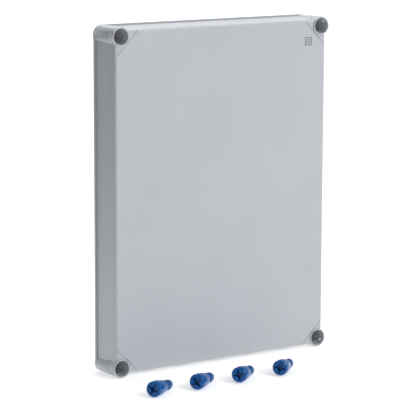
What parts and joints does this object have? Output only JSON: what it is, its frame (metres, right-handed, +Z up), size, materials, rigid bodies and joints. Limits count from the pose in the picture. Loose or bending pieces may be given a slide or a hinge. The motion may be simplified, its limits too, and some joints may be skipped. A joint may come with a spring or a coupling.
{
  "type": "electrical junction box",
  "caption": "Flat wall-mounted insulated junction box with a lift-off lid, corner screw tubes, loose blue cover screws, bottom cable entries and a rail of clamp terminals.",
  "frame": {"origin": "centre of the rear face, the plane that goes against the wall", "axes": "+Z up, -Y out of the lid's face towards the viewer, +X to the right seen from the front"},
  "size_m": [0.3877, 0.1764, 0.5],
  "materials": {
    "enclosure_plastic": "fine satin moulded plastic, light grey",
    "screw_plastic": "glossy blue moulded plastic",
    "gasket_foam": "closed-cell foam seal",
    "sign_ink": "printed sign",
    "grommet_rubber": "soft grey rubber",
    "brass": "turned and stamped brass",
    "plated_steel": "zinc-plated sheet",
    "fastener_steel": "zinc-plated screws",
    "terminal_grey": "grey terminal housing",
    "terminal_blue": "blue terminal housing",
    "terminal_green": "green and yellow terminal housing"
  },
  "bodies": {
    "box": {"base_box": "enclosure_plastic", "corner_nuts": "brass", "cable_grommets": "grommet_rubber", "mounting_plate": "plated_steel", "mounting_plate_screws": "fastener_steel", "din_rail": "plated_steel", "din_rail_screws": "fastener_steel", "end_stop_left": "terminal_grey", "end_stop_right": "terminal_grey", "terminal_l1": "terminal_grey", "terminal_l2": "terminal_grey", "terminal_l3": "terminal_grey", "terminal_n": "terminal_blue", "terminal_pe": "terminal_green", "current_bars": "brass"},
    "lid": {"lid": "enclosure_plastic", "lid_gasket": "gasket_foam", "double_insulation_sign": "sign_ink"},
    "cover_screw_1": {"cover_screw_1": "screw_plastic"},
    "cover_screw_2": {"cover_screw_2": "screw_plastic"},
    "cover_screw_3": {"cover_screw_3": "screw_plastic"},
    "cover_screw_4": {"cover_screw_4": "screw_plastic"},
    "clamp_screw_l1_top": {"clamp_screw_l1_top": "fastener_steel"},
    "clamp_cage_l1_top": {"clamp_cage_l1_top": "brass"},
    "clamp_screw_l1_bottom": {"clamp_screw_l1_bottom": "fastener_steel"},
    "clamp_cage_l1_bottom": {"clamp_cage_l1_bottom": "brass"},
    "clamp_screw_l2_top": {"clamp_screw_l2_top": "fastener_steel"},
    "clamp_cage_l2_top": {"clamp_cage_l2_top": "brass"},
    "clamp_screw_l2_bottom": {"clamp_screw_l2_bottom": "fastener_steel"},
    "clamp_cage_l2_bottom": {"clamp_cage_l2_bottom": "brass"},
    "clamp_screw_l3_top": {"clamp_screw_l3_top": "fastener_steel"},
    "clamp_cage_l3_top": {"clamp_cage_l3_top": "brass"},
    "clamp_screw_l3_bottom": {"clamp_screw_l3_bottom": "fastener_steel"},
    "clamp_cage_l3_bottom": {"clamp_cage_l3_bottom": "brass"},
    "clamp_screw_n_top": {"clamp_screw_n_top": "fastener_steel"},
    "clamp_cage_n_top": {"clamp_cage_n_top": "brass"},
    "clamp_screw_n_bottom": {"clamp_screw_n_bottom": "fastener_steel"},
    "clamp_cage_n_bottom": {"clamp_cage_n_bottom": "brass"},
    "clamp_screw_pe_top": {"clamp_screw_pe_top": "fastener_steel"},
    "clamp_cage_pe_top": {"clamp_cage_pe_top": "brass"},
    "clamp_screw_pe_bottom": {"clamp_screw_pe_bottom": "fastener_steel"},
    "clamp_cage_pe_bottom": {"clamp_cage_pe_bottom": "brass"}
  },
  "joints": [
    {"name": "lid_off", "type": "slide", "parent": "box", "child": "lid", "axis": [0, -1, 0], "range_m": [0, 0.05]},
    {"name": "cover_screw_1_lift", "type": "slide", "parent": "box", "child": "cover_screw_1", "axis": [0, 0, 1], "range_m": [0, 0.06]},
    {"name": "cover_screw_2_lift", "type": "slide", "parent": "box", "child": "cover_screw_2", "axis": [0, 0, 1], "range_m": [0, 0.06]},
    {"name": "cover_screw_3_lift", "type": "slide", "parent": "box", "child": "cover_screw_3", "axis": [0, 0, 1], "range_m": [0, 0.06]},
    {"name": "cover_screw_4_lift", "type": "slide", "parent": "box", "child": "cover_screw_4", "axis": [0, 0, 1], "range_m": [0, 0.06]},
    {"name": "clamp_screw_l1_top_turn", "type": "hinge", "parent": "box", "child": "clamp_screw_l1_top", "pos_m": [-0.0448, -0.04, 0.074], "axis": [0, 1, 0], "range_deg": [0, 1801]},
    {"name": "clamp_cage_l1_top_rise", "type": "slide", "parent": "box", "child": "clamp_cage_l1_top", "axis": [0, -1, 0], "range_m": [0, 0.0035]},
    {"name": "clamp_screw_l1_bottom_turn", "type": "hinge", "parent": "box", "child": "clamp_screw_l1_bottom", "pos_m": [-0.0448, -0.04, 0.046], "axis": [0, 1, 0], "range_deg": [0, 1801]},
    {"name": "clamp_cage_l1_bottom_rise", "type": "slide", "parent": "box", "child": "clamp_cage_l1_bottom", "axis": [0, -1, 0], "range_m": [0, 0.0035]},
    {"name": "clamp_screw_l2_top_turn", "type": "hinge", "parent": "box", "child": "clamp_screw_l2_top", "pos_m": [-0.0224, -0.04, 0.074], "axis": [0, 1, 0], "range_deg": [0, 1801]},
    {"name": "clamp_cage_l2_top_rise", "type": "slide", "parent": "box", "child": "clamp_cage_l2_top", "axis": [0, -1, 0], "range_m": [0, 0.0035]},
    {"name": "clamp_screw_l2_bottom_turn", "type": "hinge", "parent": "box", "child": "clamp_screw_l2_bottom", "pos_m": [-0.0224, -0.04, 0.046], "axis": [0, 1, 0], "range_deg": [0, 1801]},
    {"name": "clamp_cage_l2_bottom_rise", "type": "slide", "parent": "box", "child": "clamp_cage_l2_bottom", "axis": [0, -1, 0], "range_m": [0, 0.0035]},
    {"name": "clamp_screw_l3_top_turn", "type": "hinge", "parent": "box", "child": "clamp_screw_l3_top", "pos_m": [0, -0.04, 0.074], "axis": [0, 1, 0], "range_deg": [0, 1801]},
    {"name": "clamp_cage_l3_top_rise", "type": "slide", "parent": "box", "child": "clamp_cage_l3_top", "axis": [0, -1, 0], "range_m": [0, 0.0035]},
    {"name": "clamp_screw_l3_bottom_turn", "type": "hinge", "parent": "box", "child": "clamp_screw_l3_bottom", "pos_m": [0, -0.04, 0.046], "axis": [0, 1, 0], "range_deg": [0, 1801]},
    {"name": "clamp_cage_l3_bottom_rise", "type": "slide", "parent": "box", "child": "clamp_cage_l3_bottom", "axis": [0, -1, 0], "range_m": [0, 0.0035]},
    {"name": "clamp_screw_n_top_turn", "type": "hinge", "parent": "box", "child": "clamp_screw_n_top", "pos_m": [0.0224, -0.04, 0.074], "axis": [0, 1, 0], "range_deg": [0, 1801]},
    {"name": "clamp_cage_n_top_rise", "type": "slide", "parent": "box", "child": "clamp_cage_n_top", "axis": [0, -1, 0], "range_m": [0, 0.0035]},
    {"name": "clamp_screw_n_bottom_turn", "type": "hinge", "parent": "box", "child": "clamp_screw_n_bottom", "pos_m": [0.0224, -0.04, 0.046], "axis": [0, 1, 0], "range_deg": [0, 1801]},
    {"name": "clamp_cage_n_bottom_rise", "type": "slide", "parent": "box", "child": "clamp_cage_n_bottom", "axis": [0, -1, 0], "range_m": [0, 0.0035]},
    {"name": "clamp_screw_pe_top_turn", "type": "hinge", "parent": "box", "child": "clamp_screw_pe_top", "pos_m": [0.0448, -0.04, 0.074], "axis": [0, 1, 0], "range_deg": [0, 1801]},
    {"name": "clamp_cage_pe_top_rise", "type": "slide", "parent": "box", "child": "clamp_cage_pe_top", "axis": [0, -1, 0], "range_m": [0, 0.0035]},
    {"name": "clamp_screw_pe_bottom_turn", "type": "hinge", "parent": "box", "child": "clamp_screw_pe_bottom", "pos_m": [0.0448, -0.04, 0.046], "axis": [0, 1, 0], "range_deg": [0, 1801]},
    {"name": "clamp_cage_pe_bottom_rise", "type": "slide", "parent": "box", "child": "clamp_cage_pe_bottom", "axis": [0, -1, 0], "range_m": [0, 0.0035]}
  ],
  "couplings": [
    {"joint": "clamp_screw_l1_top_turn", "follows": "clamp_cage_l1_top_rise", "rad_per_m": 8976},
    {"joint": "clamp_screw_l1_bottom_turn", "follows": "clamp_cage_l1_bottom_rise", "rad_per_m": 8976},
    {"joint": "clamp_screw_l2_top_turn", "follows": "clamp_cage_l2_top_rise", "rad_per_m": 8976},
    {"joint": "clamp_screw_l2_bottom_turn", "follows": "clamp_cage_l2_bottom_rise", "rad_per_m": 8976},
    {"joint": "clamp_screw_l3_top_turn", "follows": "clamp_cage_l3_top_rise", "rad_per_m": 8976},
    {"joint": "clamp_screw_l3_bottom_turn", "follows": "clamp_cage_l3_bottom_rise", "rad_per_m": 8976},
    {"joint": "clamp_screw_n_top_turn", "follows": "clamp_cage_n_top_rise", "rad_per_m": 8976},
    {"joint": "clamp_screw_n_bottom_turn", "follows": "clamp_cage_n_bottom_rise", "rad_per_m": 8976},
    {"joint": "clamp_screw_pe_top_turn", "follows": "clamp_cage_pe_top_rise", "rad_per_m": 8976},
    {"joint": "clamp_screw_pe_bottom_turn", "follows": "clamp_cage_pe_bottom_rise", "rad_per_m": 8976}
  ]
}
